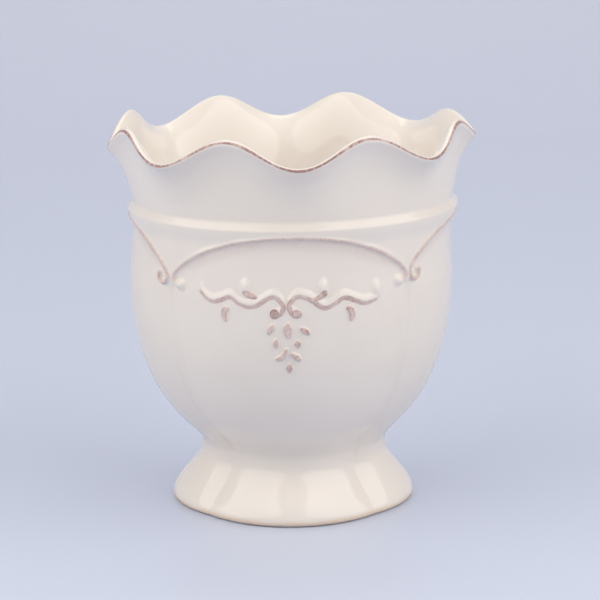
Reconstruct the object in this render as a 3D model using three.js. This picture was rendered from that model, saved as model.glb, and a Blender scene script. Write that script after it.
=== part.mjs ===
// A vase: a lobed bowl on a foot, with a frilled collar and a pressed scroll ornament.
// Millimetres, +Z up, the front faces -Y, the origin is the middle of the foot's underside.
// An angle round the vase is 0 at the front and grows towards +X.
import * as THREE from 'three';

const { clamp, degToRad, euclideanModulo, lerp, smoothstep } = THREE.MathUtils;

// Driving sizes of the pot; the rim is where the outer face would end if its lip were sharp
const FOOT_RADIUS = 47.5;
const WAIST_RADIUS = 35.5;
const WAIST_HEIGHT = 22.8;
const BELLY_RADIUS = 62.9;
const BELLY_HEIGHT = 90.8;
const SHOULDER_RADIUS = 61.6;
const SHOULDER_HEIGHT = 118;
const RIM_RADIUS = 70.9;
const RIM_HEIGHT = 145.2;
const WALL = 4.5;
const LIP = 2.6;
const FLOOR = 6;
const FOOT_WALL = 4.5;
const FOOT_EDGE = 1.6;
const FOOT_TUCK = 2.5;

// The frill: waves round the rim, their rise and fall, and their swing in and out
const WAVES = 8;
const WAVE_RISE = 4.8;
const WAVE_SWING = 1.5;
const WAVE_TURN = degToRad(3.4);

// Shaping by hand: on the right the frill is pushed forward and one peak droops, and the rim
// rises to the right and sinks to the back by so much for each millimetre
const PUSH = degToRad(5);
const PUSH_ANGLE = degToRad(100);
const PUSH_SPREAD = degToRad(34);
const DROOP = 2.4;
const DROOP_ANGLE = degToRad(111);
const DROOP_SPREAD = degToRad(17);
const TILT_RIGHT = 0.011;
const TILT_BACK = -0.007;

// The lobes: how deep the creases between them are, from the table upwards
const LOBES = 4;
const EDGE_CREASE = 2.3;
const FOOT_CREASE = 4.6;
const WAIST_CREASE = 3.2;
const BELLY_CREASE = 1.3;

// The ornament: a slip joint under every pressed piece, the sizes of the mouldings, and how far
// the middle of the spray lies below the belly
const SLIP = 0.3;
const BEAD_HEIGHT = 4.6;
const BEAD_RISE = 3;
const ARCH_WIDTH = 1.9;
const ARCH_RISE = 2.4;
const HOOK_RISE = 1.5;
const HOOK_RADIUS = 2.45;
const RIB_HALF = 1.4;
const SPANDREL_RISE = 2;
const SCROLL_WIDTH = 1.8;
const SCROLL_RISE = 1.3;
const LEAF_RISE = 1.2;
const SPRAY_DROP = 3.3;

// How finely the round shapes are divided
const LOBE_STEPS = 14;
const WAVE_STEPS = 9;

const PANEL_ANGLE = (2 * Math.PI) / LOBES;
const PANEL_HALF = (BELLY_RADIUS * PANEL_ANGLE) / 2;
const BEAD_LOW = SHOULDER_HEIGHT - 0.44 * BEAD_HEIGHT;
const ROUND_STEPS = LOBES * LOBE_STEPS;
const GLAZE = { color: 0xe9e3da, roughness: 0.15, metalness: 0 };
const STAIN = { color: 0xb89f96, roughness: 0.35, metalness: 0 };

const at = (x, y) => new THREE.Vector2(x, y);

// Outlines of the pot as (radius, height), on the crest of a lobe
const footSide = new THREE.CubicBezierCurve(
  at(FOOT_RADIUS, FOOT_EDGE),
  at(FOOT_RADIUS, 0.36 * WAIST_HEIGHT),
  at(WAIST_RADIUS, 0.67 * WAIST_HEIGHT),
  at(WAIST_RADIUS, WAIST_HEIGHT),
);
const bowlLower = new THREE.CubicBezierCurve(
  at(WAIST_RADIUS, WAIST_HEIGHT),
  at(WAIST_RADIUS, lerp(WAIST_HEIGHT, BELLY_HEIGHT, 0.1)),
  at(BELLY_RADIUS, lerp(WAIST_HEIGHT, BELLY_HEIGHT, 0.25)),
  at(BELLY_RADIUS, BELLY_HEIGHT),
);
const bowlUpper = new THREE.CubicBezierCurve(
  at(BELLY_RADIUS, BELLY_HEIGHT),
  at(BELLY_RADIUS, lerp(BELLY_HEIGHT, SHOULDER_HEIGHT, 0.12)),
  at(SHOULDER_RADIUS, lerp(BELLY_HEIGHT, SHOULDER_HEIGHT, 0.35)),
  at(SHOULDER_RADIUS, SHOULDER_HEIGHT),
);

// The collar leans out gently at first and curls over at the rim; share runs from 0 to 1.
function collarPoint(share) {
  const lean = 0.45 * share + 0.55 * share ** 5;
  return at(lerp(SHOULDER_RADIUS, RIM_RADIUS, lean), lerp(SHOULDER_HEIGHT, RIM_HEIGHT, share));
}

// The radius of a rising outline at a height, found by halving the interval.
function radiusAt(curve, height) {
  let low = 0;
  let high = 1;
  for (let step = 0; step < 30; step += 1) {
    const middle = (low + high) / 2;
    if (curve.getPoint(middle).y < height) low = middle;
    else high = middle;
  }
  return curve.getPoint(low).x;
}

// The depth of the creases at a height: a sum of smooth steps, from the table edge to the shoulder.
function creaseDepth(height) {
  const foot = lerp(EDGE_CREASE, FOOT_CREASE, smoothstep(height, 0, 0.4 * WAIST_HEIGHT));
  const waistStep = smoothstep(height, 0.5 * WAIST_HEIGHT, 1.1 * WAIST_HEIGHT);
  const bellyStep = smoothstep(height, WAIST_HEIGHT, 0.75 * BELLY_HEIGHT);
  const fade = smoothstep(height, BELLY_HEIGHT, SHOULDER_HEIGHT);
  const waist = (WAIST_CREASE - FOOT_CREASE) * waistStep;
  const belly = (BELLY_CREASE - WAIST_CREASE) * bellyStep;
  return foot + waist + belly - BELLY_CREASE * fade;
}

// The crest radius of the pot at a height.
function crestRadius(height) {
  if (height < WAIST_HEIGHT) return radiusAt(footSide, height);
  return radiusAt(height < BELLY_HEIGHT ? bowlLower : bowlUpper, height);
}

// The share of its radius that the pot keeps at an angle and a height: 1 on a crest, less in a crease.
function lobeShare(angle, height) {
  const crease = 1 - Math.hypot(Math.cos((LOBES * angle) / 2), 0.1);
  return 1 - (Math.max(crease, 0) * creaseDepth(height)) / crestRadius(height);
}

// Points along a curve moved sideways to its left, for the other face of a wall.
function inset(curve, distance, steps) {
  const points = [];
  for (let step = 0; step <= steps; step += 1) {
    const along = curve.getTangent(step / steps);
    points.push(curve.getPoint(step / steps).add(at(-along.y, along.x).multiplyScalar(distance)));
  }
  return points;
}

// A turned body with +Z up, each of its points then moved by the given function of angle and point.
function turned(outline, steps, start, move) {
  const geometry = new THREE.LatheGeometry(outline, steps, start, 2 * Math.PI);
  geometry.rotateX(Math.PI / 2);
  const places = geometry.attributes.position;
  for (let index = 0; index < places.count; index += 1) {
    const x = places.getX(index);
    const y = places.getY(index);
    const angle = Math.atan2(x, -y);
    const moved = move(angle, at(Math.hypot(x, y), places.getZ(index)));
    places.setXYZ(index, moved.x * Math.sin(angle), -moved.x * Math.cos(angle), moved.y);
  }
  return geometry;
}

const lobed = (angle, point) => at(point.x * lobeShare(angle, point.y), point.y);

// How near an angle is to a middle: 1 there, and fading to nothing over the spread to both sides.
function nearness(angle, middle, spread) {
  const turn = euclideanModulo(angle - middle + Math.PI, 2 * Math.PI) - Math.PI;
  return Math.exp(-((turn / spread) ** 2));
}

// The frill grows from nothing at the shoulder: troughs swing out and peaks stand in.
function frilled(angle, point) {
  const share = clamp((point.y - SHOULDER_HEIGHT) / (RIM_HEIGHT - SHOULDER_HEIGHT), 0, 1.1);
  const pushed = angle + PUSH * nearness(angle, PUSH_ANGLE, PUSH_SPREAD);
  const wave = Math.cos(WAVES * (pushed - WAVE_TURN));
  const droop = DROOP * nearness(angle, DROOP_ANGLE, DROOP_SPREAD);
  const tilt = point.x * (TILT_RIGHT * Math.sin(angle) - TILT_BACK * Math.cos(angle));
  const rise = tilt - WAVE_RISE * wave - droop;
  return at(point.x + WAVE_SWING * wave * share * share, point.y + rise * share);
}

function bowl() {
  const floorHeight = WAIST_HEIGHT + FLOOR;
  const inner = [...inset(bowlLower, WALL, 8), ...inset(bowlUpper, WALL, 4).slice(1)];
  const aboveFloor = inner.filter((point) => point.y > floorHeight + 0.2 * WALL);
  const outline = [
    at(0, WAIST_HEIGHT),
    ...bowlLower.getPoints(11),
    ...bowlUpper.getPoints(4).slice(1),
    ...aboveFloor.reverse(),
    at(WAIST_RADIUS - WALL, floorHeight),
    at(0, floorHeight),
  ];
  return turned(outline, ROUND_STEPS, 0, lobed);
}

function foot() {
  const inner = inset(footSide, FOOT_WALL, 5).reverse();
  const outline = [
    at(FOOT_RADIUS - FOOT_TUCK, 0),
    at(FOOT_RADIUS - 0.3 * FOOT_TUCK, 0.3 * FOOT_EDGE),
    ...footSide.getPoints(9),
    at(WAIST_RADIUS - FOOT_WALL, WAIST_HEIGHT),
    ...inner.slice(1),
    at(FOOT_RADIUS - FOOT_WALL, 0),
    at(FOOT_RADIUS - FOOT_TUCK, 0),
  ];
  return turned(outline, ROUND_STEPS, 0, lobed);
}

function collar() {
  const outer = [];
  const inner = [];
  const steps = 8;
  for (let step = 0; step <= steps; step += 1) {
    const share = step / steps;
    const point = collarPoint(share * 0.97);
    const along = collarPoint(share * 0.97 + 0.01).sub(point).normalize();
    const thickness = lerp(WALL, LIP, share);
    outer.push(point);
    inner.push(point.clone().add(at(-along.y, along.x).multiplyScalar(thickness)));
  }
  inner[0] = at(SHOULDER_RADIUS - WALL, SHOULDER_HEIGHT);
  const lipMiddle = outer[steps].clone().lerp(inner[steps], 0.5);
  const lipAlong = collarPoint(1).sub(collarPoint(0.97)).setLength(LIP * 0.4);
  const outline = [
    inner[0],
    ...outer,
    outer[steps].clone().lerp(lipMiddle, 0.3).add(lipAlong),
    inner[steps].clone().lerp(lipMiddle, 0.3).add(lipAlong),
    ...inner.reverse(),
  ];
  return turned(outline, WAVES * WAVE_STEPS, WAVE_TURN, frilled);
}

function shoulderBead() {
  const high = BEAD_LOW + BEAD_HEIGHT;
  const highShare = (high - SHOULDER_HEIGHT) / (RIM_HEIGHT - SHOULDER_HEIGHT);
  const outline = [at(crestRadius(BEAD_LOW) + SLIP, BEAD_LOW)];
  const steps = 6;
  for (let step = 1; step < steps; step += 1) {
    const turn = (Math.PI * step) / steps;
    const height = (BEAD_LOW + high) / 2 - (Math.cos(turn) * BEAD_HEIGHT) / 2;
    outline.push(at(SHOULDER_RADIUS + SLIP + (BEAD_RISE - SLIP) * Math.sin(turn), height));
  }
  outline.push(at(collarPoint(highShare).x + SLIP, high));
  outline.push(outline[0].clone());
  return turned(outline, ROUND_STEPS, 0, (angle, point) => point);
}

// Flat places (across, up) in front of the bowl are pressed onto its wall. Across runs along the
// belly, height stands out from the slip joint, and facing is the angle of the panel's middle.
function pressed(across, up, height, facing) {
  const angle = facing + across / BELLY_RADIUS;
  const radius = crestRadius(up) * lobeShare(angle, up) + SLIP + height;
  return [radius * Math.sin(angle), -radius * Math.cos(angle), up];
}

// Cross-sections of pressed pieces: share of the half width, share of the rise
const ROUNDED = [[1, 0], [0.75, 0.75], [0, 1], [-0.75, 0.75], [-1, 0]];
const HOLLOWED = [[1, 0], [1, 1], [0, 0.75], [-1, 1], [-1, 0]];

// A pressed piece runs through stations, each with its place, its direction, a width and a rise.
function pressedPiece(stations, section, facing) {
  const places = [];
  const faces = [];
  const corners = section.length;
  for (const { place, along, width, rise } of stations) {
    for (const [side, height] of section) {
      const offset = (side * width) / 2;
      const across = place.x - along.y * offset;
      const up = place.y + along.x * offset;
      places.push(...pressed(across, up, height * rise, facing));
    }
  }
  for (let row = 0; row < stations.length - 1; row += 1) {
    for (let corner = 0; corner < corners; corner += 1) {
      const here = row * corners + corner;
      const beside = row * corners + ((corner + 1) % corners);
      faces.push(here, beside, beside + corners, here, beside + corners, here + corners);
    }
  }
  const last = (stations.length - 1) * corners;
  for (let corner = 1; corner < corners - 1; corner += 1) {
    faces.push(0, corner + 1, corner, last, last + corner, last + corner + 1);
  }
  const geometry = new THREE.BufferGeometry();
  geometry.setAttribute('position', new THREE.Float32BufferAttribute(places, 3));
  geometry.setIndex(faces);
  return geometry;
}

// Stations along a curve; the width and the rise are functions of the share of the way.
function stationsOn(curve, steps, widthAt, riseAt) {
  const stations = [];
  for (let step = 0; step <= steps; step += 1) {
    const share = step / steps;
    const place = curve.getPoint(share);
    const along = curve.getTangent(share);
    stations.push({ place, along, width: widthAt(share), rise: riseAt(share) });
  }
  return stations;
}

// The same stations on the other side of the panel's middle, in the order that runs back to it.
function mirrored(stations) {
  const copies = stations.map(({ place, along, width, rise }) => (
    { place: at(-place.x, place.y), along: at(along.x, -along.y), width, rise }
  ));
  return copies.reverse();
}

// Half of an arch: from the middle of the panel out to the rib, then a hook back under itself.
const archTop = BEAD_LOW - SLIP - ARCH_WIDTH / 2;
const hookHeight = lerp(BELLY_HEIGHT, archTop, 0.3);
const archHalf = new THREE.CubicBezierCurve(
  at(0, archTop),
  at(PANEL_HALF * 0.65, archTop),
  at(PANEL_HALF - RIB_HALF, lerp(hookHeight, archTop, 0.15)),
  at(PANEL_HALF - RIB_HALF, hookHeight),
);
const hookMiddle = PANEL_HALF - RIB_HALF - HOOK_RADIUS;
const hook = new THREE.EllipseCurve(
  hookMiddle, hookHeight, HOOK_RADIUS, HOOK_RADIUS, 0, degToRad(-200), true,
);

function arch(facing) {
  const knob = (share) => ARCH_WIDTH * (1 + 0.4 * smoothstep(share, 0.6, 0.9));
  const half = [
    ...stationsOn(archHalf, 10, () => ARCH_WIDTH, (share) => lerp(ARCH_RISE, HOOK_RISE, share)),
    ...stationsOn(hook, 9, knob, () => HOOK_RISE).slice(1),
  ];
  return pressedPiece([...mirrored(half.slice(1)), ...half], ROUNDED, facing);
}

// A spandrel lies between the bead and two arches, and its middle is on the rib between them.
function spandrel(facing) {
  const top = BEAD_LOW - SLIP;
  const clear = ARCH_WIDTH / 2 + SLIP;
  const steps = 40;
  const edge = inset(archHalf, clear, steps);
  const highest = top - ARCH_WIDTH / 2;
  const nearest = PANEL_HALF - RIB_HALF * 0.3;
  const field = edge.filter((point) => point.y < highest && point.x < nearest);
  const thinned = field.filter((point, index) => index % 3 === 0 || index === field.length - 1);
  const half = thinned.map((point) => ({
    place: at(PANEL_HALF - point.x, (top + point.y) / 2),
    along: at(1, 0),
    width: top - point.y,
    rise: SPANDREL_RISE,
  }));
  return pressedPiece([...mirrored(half.slice().reverse()), ...half.slice().reverse()], HOLLOWED, facing);
}

// The spray: paths as (across, up), with up measured from its middle
const SPRAY_HEIGHT = BELLY_HEIGHT - SPRAY_DROP;
const spray = (points) => new THREE.SplineCurve(points.map(([x, y]) => at(x, SPRAY_HEIGHT + y)));
const SCROLLS = {
  scroll_left: [
    [-5.3, -1.2], [-2.8, -0.1], [-2.3, 2.8], [-5.2, 5.7], [-8.3, 4.9], [-11.6, 2.7], [-15.2, 1.9],
    [-18.8, 3], [-22.3, 5.1], [-25.7, 3.9], [-29.2, 3], [-32.2, 4], [-34.1, 5.8],
  ],
  scroll_right: [
    [3, -1.1], [0.8, 0], [0.1, 2.9], [2.4, 5.7], [5.4, 5.6], [8.6, 4.2], [11.5, 2], [13.7, 1.4],
    [16.6, 2.6], [19.4, 4.4], [21.6, 4.7], [25, 3.3], [28.4, 2], [31.2, 2.2], [33, 2.9],
  ],
};
const LEAVES = {
  leaf_upper_left: { path: [[-12, 5.8], [-15, 6.6], [-16.4, 10.4], [-15.8, 14.6]], width: 2.6 },
  leaf_upper_right: { path: [[10.6, 5.6], [13.2, 7], [14.2, 10.6], [12.4, 14.6]], width: 2.6 },
  leaf_hanging_left: { path: [[-22.9, 1], [-24.8, -1.3], [-23.9, -3.6]], width: 2.3 },
  leaf_hanging_right: { path: [[21.6, 1.2], [23.5, -1.6], [23.2, -3.6]], width: 2.5 },
  drop_top_left: { path: [[-5.4, -4], [-8, -7.9]], width: 2.1 },
  drop_top_middle: { path: [[-0.5, -3.4], [-0.4, -9.6]], width: 3.2 },
  drop_top_right: { path: [[3.8, -5], [7.6, -8.5]], width: 2.2 },
  drop_second_left: { path: [[-4.8, -9.2], [-5.2, -11.2], [-4.7, -13.4]], width: 2.1 },
  drop_second_right: { path: [[2.7, -10.1], [3.3, -13.4]], width: 2.4 },
  drop_third_left: { path: [[-1, -13.1], [-2.4, -16.4], [-5.4, -18]], width: 2 },
  drop_third_right: { path: [[0.5, -15.2], [4.4, -18.4]], width: 2.1 },
  drop_bottom: { path: [[-0.1, -19.2], [-0.2, -23.6]], width: 2.2 },
};

// A scroll starts in a wide round end and thins towards its tip.
function scroll(points, facing) {
  const start = (share) => 1 - smoothstep(share, 0, 0.1);
  const widthAt = (share) => SCROLL_WIDTH * (1.15 + 0.5 * start(share) - 0.4 * share);
  const stations = stationsOn(spray(points), 30, widthAt, () => SCROLL_RISE);
  return pressedPiece(stations, ROUNDED, facing);
}

// A leaf swells from a narrow start to its middle and narrows again to its tip.
function leaf({ path, width }, facing) {
  const steps = path.length > 2 ? 8 : 5;
  const swell = (share) => 0.3 + 0.7 * Math.sin(Math.PI * clamp(share, 0, 1));
  const stations = stationsOn(
    spray(path), steps, (share) => width * swell(share), (share) => LEAF_RISE * swell(share),
  );
  return pressedPiece(stations, ROUNDED, facing);
}

const vase = new THREE.Group();
vase.name = 'vase';

function place(name, geometry, look) {
  const mesh = new THREE.Mesh(geometry, new THREE.MeshStandardMaterial(look));
  mesh.name = name;
  vase.add(mesh);
}

place('bowl', bowl(), GLAZE);
place('foot', foot(), GLAZE);
place('collar', collar(), GLAZE);
place('shoulder_bead', shoulderBead(), GLAZE);

['front', 'right', 'back', 'left'].forEach((side, index) => {
  place(`arch_${side}`, arch(index * PANEL_ANGLE), STAIN);
});
['front_right', 'back_right', 'back_left', 'front_left'].forEach((corner, index) => {
  place(`spandrel_${corner}`, spandrel((index + 0.5) * PANEL_ANGLE), GLAZE);
});
['front', 'back'].forEach((side, index) => {
  const facing = index * Math.PI;
  for (const [name, points] of Object.entries(SCROLLS)) {
    place(`${side}_${name}`, scroll(points, facing), STAIN);
  }
  for (const [name, shape] of Object.entries(LEAVES)) {
    place(`${side}_${name}`, leaf(shape, facing), STAIN);
  }
});

export default vase;
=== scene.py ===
import bpy
import numpy as np
from mathutils import Matrix


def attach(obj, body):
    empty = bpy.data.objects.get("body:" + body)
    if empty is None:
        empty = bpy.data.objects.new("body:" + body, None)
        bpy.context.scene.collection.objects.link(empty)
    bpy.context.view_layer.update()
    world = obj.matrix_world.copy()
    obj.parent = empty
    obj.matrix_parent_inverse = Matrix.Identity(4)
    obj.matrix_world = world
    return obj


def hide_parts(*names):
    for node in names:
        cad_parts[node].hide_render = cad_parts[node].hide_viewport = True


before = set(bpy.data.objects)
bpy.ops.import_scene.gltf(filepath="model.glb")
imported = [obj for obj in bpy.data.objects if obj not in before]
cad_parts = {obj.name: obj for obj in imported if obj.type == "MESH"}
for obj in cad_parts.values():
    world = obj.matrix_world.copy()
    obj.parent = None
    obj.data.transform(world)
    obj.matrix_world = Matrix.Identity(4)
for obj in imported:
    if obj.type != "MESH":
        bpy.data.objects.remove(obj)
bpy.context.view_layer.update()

# Sizes of the pot in millimetres, the same as those of the solids
FOOT_RADIUS = 47.5
WAIST_RADIUS = 35.5
WAIST_HEIGHT = 22.8
BELLY_RADIUS = 62.9
BELLY_HEIGHT = 90.8
SHOULDER_RADIUS = 61.6
SHOULDER_HEIGHT = 118.0
RIM_RADIUS = 70.9
RIM_HEIGHT = 145.2
WALL = 4.5
LIP = 2.6
FLOOR = 6.0
FOOT_WALL = 4.5
FOOT_EDGE = 1.6
FOOT_TUCK = 2.5
MILLIMETRE = 0.001

# The outline stands upright at the table, the waist, the belly and the shoulder. The handles of the three
# curves between them are shares of the height from table to waist, waist to belly and belly to shoulder
FOOT_HANDLES = np.array([0.36, 0.67])
LOWER_HANDLES = np.array([0.1, 0.22])
UPPER_HANDLES = np.array([0.12, 0.35])
OUTLINE_STEPS = 400

# How far the slip fills out the joint at the waist, and how far it reaches up and down
WAIST_FILL = 0.7
WAIST_REACH = 3.2

# The collar leans out steadily by this share, and by the rest with a power of its height, near the rim
STEADY_LEAN = 0.45
LEAN_POWER = 5
# How softly the collar starts from the shoulder, as a share of its height
COLLAR_START = 0.06

# The frill round the rim
WAVES = 8
WAVE_RISE = 4.8
WAVE_SWING = 1.5
WAVE_TURN = np.radians(3.4)

# Shaping by hand at the rim: how much, at which angle, and over how wide an angle in radians. On the right
# the frill is pushed forward, a peak droops and a trough is lifted. On the left a trough is pressed in
PUSH = (np.radians(5.0), np.radians(100.0), 0.6)
DROOP = (2.4, np.radians(111.0), 0.3)
LIFT = (2.6, np.radians(90.0), 0.22)
PINCH = (1.3, np.radians(-90.0), 0.35)

# Shoulder and waist lie a little to the right: how far, and how far up and down that reaches
SHOULDER_SHIFT = 1.0
SHOULDER_SHIFT_REACH = 14.0
WAIST_SHIFT = 0.45
WAIST_SHIFT_REACH = 10.0

# The rim rises to the right and sinks to the back, by so much for each millimetre, between two heights
TILT_RIGHT = 0.011
TILT_BACK = -0.007
TILT_HEIGHTS = (99.0, 129.0)

# Depth of the creases between the lobes, from the table upwards
LOBES = 4
EDGE_CREASE = 2.3
FOOT_CREASE = 4.6
WAIST_CREASE = 3.2
BELLY_CREASE = 1.3
# How that depth changes: the depth that is reached, and the heights where the change starts and ends
CREASE_STEPS = (
    (FOOT_CREASE, 0.0, 0.4 * WAIST_HEIGHT),
    (WAIST_CREASE, 0.5 * WAIST_HEIGHT, 1.1 * WAIST_HEIGHT),
    (BELLY_CREASE, WAIST_HEIGHT, 0.75 * BELLY_HEIGHT),
    (0.0, BELLY_HEIGHT, SHOULDER_HEIGHT),
)
# How softly two lobes meet in a crease, as a share of its depth
CREASE_ROUNDING = 0.05
# The narrow furrow along each crease: its depth and spread, and the heights where it starts and runs out
FURROW_DEPTH = 0.45
FURROW_SPREAD = 1.3
FURROW_START = (15.0, 31.0)
FURROW_END = (91.0, 99.0)

# Past the joint at the waist, bowl and foot each run on for the lap, this deep inside the other's face
LAP = 2.8
TUCK = 0.08
TUCK_FADE = (-0.5, 2.5)


def lerp(low, high, share):
    return low + (high - low) * share


def smooth(low, high, value):
    """An S-shaped step from 0 at low to 1 at high, level at both ends."""
    share = np.clip((value - low) / (high - low), 0.0, 1.0)
    return share * share * (3.0 - 2.0 * share)


def bell(offset, reach):
    """A bell-shaped share: 1 where the offset is nothing, and little beyond twice the reach."""
    return np.exp(-(offset / reach) ** 2)


def blend_max(first, second, width):
    """The larger of two heights, with the corner between them rounded over the width."""
    return 0.5 * (first + second + np.sqrt((first - second) ** 2 + width ** 2) - width)


def bezier(corners, count):
    """Points of a cubic curve: four corners weighted by the powers of the share and its rest."""
    share = np.linspace(0.0, 1.0, count)[:, None]
    rest = 1.0 - share
    first, second, third, fourth = np.array(corners, dtype=float)
    return (rest ** 3 * first + 3 * rest ** 2 * share * second
            + 3 * rest * share ** 2 * third + share ** 3 * fourth)


def spline(corners, per_span):
    """A curve through all corners: each span is a cubic whose end slopes follow the neighbours."""
    corners = np.array(corners, dtype=float)
    padded = np.vstack([2 * corners[0] - corners[1], corners, 2 * corners[-1] - corners[-2]])
    share = np.linspace(0.0, 1.0, per_span, endpoint=False)[None, :, None]
    before, start, end, after = (padded[i:len(padded) - 3 + i, None, :] for i in range(4))
    points = start + 0.5 * share * (end - before + share * (
        2 * before - 5 * start + 4 * end - after + share * (3 * (start - end) + after - before)))
    return np.vstack([points.reshape(-1, 2), corners[-1:]])


def directions(curve):
    """The direction of a curve at each of its points, with length 1."""
    along = np.gradient(curve, axis=0)
    return along / np.linalg.norm(along, axis=1, keepdims=True)


# The form of the pot
def collar_lean(share):
    """How far the collar has leant out at a share of its height: gently, then over at the rim."""
    return STEADY_LEAN * share + (1.0 - STEADY_LEAN) * share ** LEAN_POWER


def upright_curve(start, end, handles, count):
    """A cubic curve between two points, upright at both: the handles are heights straight over them."""
    return bezier([start, (start[0], handles[0]), (end[0], handles[1]), end], count)


def pot_outline():
    """Heights and crest radii of the pot from table to shoulder: three curves that join smoothly."""
    table = (FOOT_RADIUS, FOOT_EDGE)
    waist = (WAIST_RADIUS, WAIST_HEIGHT)
    belly = (BELLY_RADIUS, BELLY_HEIGHT)
    shoulder = (SHOULDER_RADIUS, SHOULDER_HEIGHT)
    lower_handles = lerp(WAIST_HEIGHT, BELLY_HEIGHT, LOWER_HANDLES)
    upper_handles = lerp(BELLY_HEIGHT, SHOULDER_HEIGHT, UPPER_HANDLES)
    foot = upright_curve(table, waist, WAIST_HEIGHT * FOOT_HANDLES, OUTLINE_STEPS)
    lower = upright_curve(waist, belly, lower_handles, 2 * OUTLINE_STEPS)
    upper = upright_curve(belly, shoulder, upper_handles, OUTLINE_STEPS)
    line = np.vstack([foot, lower[1:], upper[1:]])
    return line[:, 1], line[:, 0]


OUTLINE_HEIGHTS, OUTLINE_RADII = pot_outline()


def crest_radius(height):
    """Radius over the crests of the lobes: the outline, filled out a little round the joint at the waist."""
    fill = WAIST_FILL * bell(height - WAIST_HEIGHT, WAIST_REACH)
    return np.interp(height, OUTLINE_HEIGHTS, OUTLINE_RADII) + fill


def crease_depth(height):
    """Depth of the creases: a sum of smooth steps from the table edge up to nothing at the shoulder."""
    depth = EDGE_CREASE
    reached = EDGE_CREASE
    for target, start, end in CREASE_STEPS:
        depth = depth + (target - reached) * smooth(start, end, height)
        reached = target
    return depth


def lobed(angle, height, radius):
    """A radius drawn in towards the creases, by the same share on every wall at that height.

    Between two creases the lobe follows a cosine arch, and a narrow furrow lies along each crease.
    """
    arch = 1.0 - np.hypot(np.cos(0.5 * LOBES * angle), CREASE_ROUNDING)
    off_crease = np.abs((angle % (2 * np.pi / LOBES)) - np.pi / LOBES) * crest_radius(height)
    furrow = FURROW_DEPTH * np.exp(-0.5 * (off_crease / FURROW_SPREAD) ** 2)
    furrow = furrow * smooth(*FURROW_START, height) * (1.0 - smooth(*FURROW_END, height))
    depth = crease_depth(height) * np.maximum(arch, 0.0) + furrow
    return radius * (1.0 - depth / crest_radius(height))


def by_hand(angle, amount, middle, spread):
    """A touch of the hand at the rim: the amount at its middle angle, less and less to both sides."""
    turn = (angle - middle + np.pi) % (2 * np.pi) - np.pi
    return amount * bell(turn, spread)


def frill_wave(angle):
    """The wave of the rim, 1 in the troughs and -1 on the peaks."""
    return np.cos(WAVES * (angle + by_hand(angle, *PUSH) - WAVE_TURN))


def frilled(angle, radius, height):
    """The frill grows up the collar: troughs swing out and sink, peaks stand in and rise.

    Near the rim a peak droops, one trough is pressed in and one is lifted.
    """
    share = np.maximum((height - SHOULDER_HEIGHT) / (RIM_HEIGHT - SHOULDER_HEIGHT), 0.0)
    wave = frill_wave(angle)
    radius = radius + WAVE_SWING * wave * share ** 2 - by_hand(angle, *PINCH) * share ** 4
    sunk = (WAVE_RISE * wave + by_hand(angle, *DROOP)) * share
    return radius, height - sunk + by_hand(angle, *LIFT) * share ** 3


def collar_radius(angle, height):
    """Radius of the frilled collar's outer wall, met in a rounded corner by the bowl below it."""
    wave = frill_wave(angle)
    share = (height - SHOULDER_HEIGHT) / (RIM_HEIGHT - SHOULDER_HEIGHT - WAVE_RISE * wave)
    share = 0.5 * (share + np.hypot(share, COLLAR_START))
    return lerp(SHOULDER_RADIUS, RIM_RADIUS, collar_lean(share)) + WAVE_SWING * wave * share ** 2


def wall_radius(angle, height):
    """Radius of the outer wall, from the waist to a little way up the collar."""
    bowl = lobed(angle, height, crest_radius(height))
    return bowl + collar_radius(angle, height) - SHOULDER_RADIUS


def turned_place(angle, radius, height):
    """Places in metres from an angle, a radius and a height, with waist, shoulder and rim shaped by hand."""
    across = radius * np.sin(angle) + SHOULDER_SHIFT * bell(height - SHOULDER_HEIGHT, SHOULDER_SHIFT_REACH)
    across = across + WAIST_SHIFT * bell(height - WAIST_HEIGHT, WAIST_SHIFT_REACH)
    depth = -radius * np.cos(angle)
    tilt = (TILT_RIGHT * across + TILT_BACK * depth) * smooth(*TILT_HEIGHTS, height)
    return MILLIMETRE * np.stack([across, depth, height + tilt], axis=-1)


# Meshes and objects
def grid_mesh(name, places, closed_round=False, poles=()):
    """A smooth mesh from a grid of places, rows first, with faces between neighbours.

    A closed grid joins its last column to its first. A pole is a row, first or last, that shrinks
    to its mean and is closed with a fan.
    """
    rows, columns = places.shape[:2]
    index = np.arange(rows * columns).reshape(rows, columns)
    wide = np.hstack([index, index[:, :1]]) if closed_round else index
    quads = np.stack([wide[:-1, :-1], wide[:-1, 1:], wide[1:, 1:], wide[1:, :-1]], axis=-1)
    points = places.reshape(-1, 3)
    faces = quads.reshape(-1, 4).tolist()
    for row in poles:
        points = np.vstack([points, places[row].mean(axis=0)])
        tip = np.full(wide.shape[1] - 1, len(points) - 1)
        edge = (wide[row, 1:], wide[row, :-1]) if row == 0 else (wide[row, :-1], wide[row, 1:])
        faces += np.stack([*edge, tip], axis=-1).tolist()
    mesh = bpy.data.meshes.new(name)
    mesh.from_pydata(points, [], faces)
    mesh.polygons.foreach_set("use_smooth", np.ones(len(mesh.polygons), dtype=bool))
    mesh.update()
    return mesh


def put_in_scene(name, content):
    """A new object in the scene that holds a mesh, a lamp or a camera."""
    holder = bpy.data.objects.new(name, content)
    bpy.context.scene.collection.objects.link(holder)
    return holder


def grid_piece(name, places, replaced, attributes, **closing):
    """A piece of the pot from a grid of places, with attributes that are numbers for each of its points."""
    mesh = grid_mesh(name, places, **closing)
    for key, values in attributes.items():
        filled = np.pad(values.reshape(-1), (0, len(mesh.vertices) - values.size), mode="edge")
        mesh.attributes.new(key, "FLOAT", "POINT").data.foreach_set("value", filled)
    piece = put_in_scene(name, mesh)
    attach(piece, "root")
    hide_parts(*replaced)
    return piece


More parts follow.
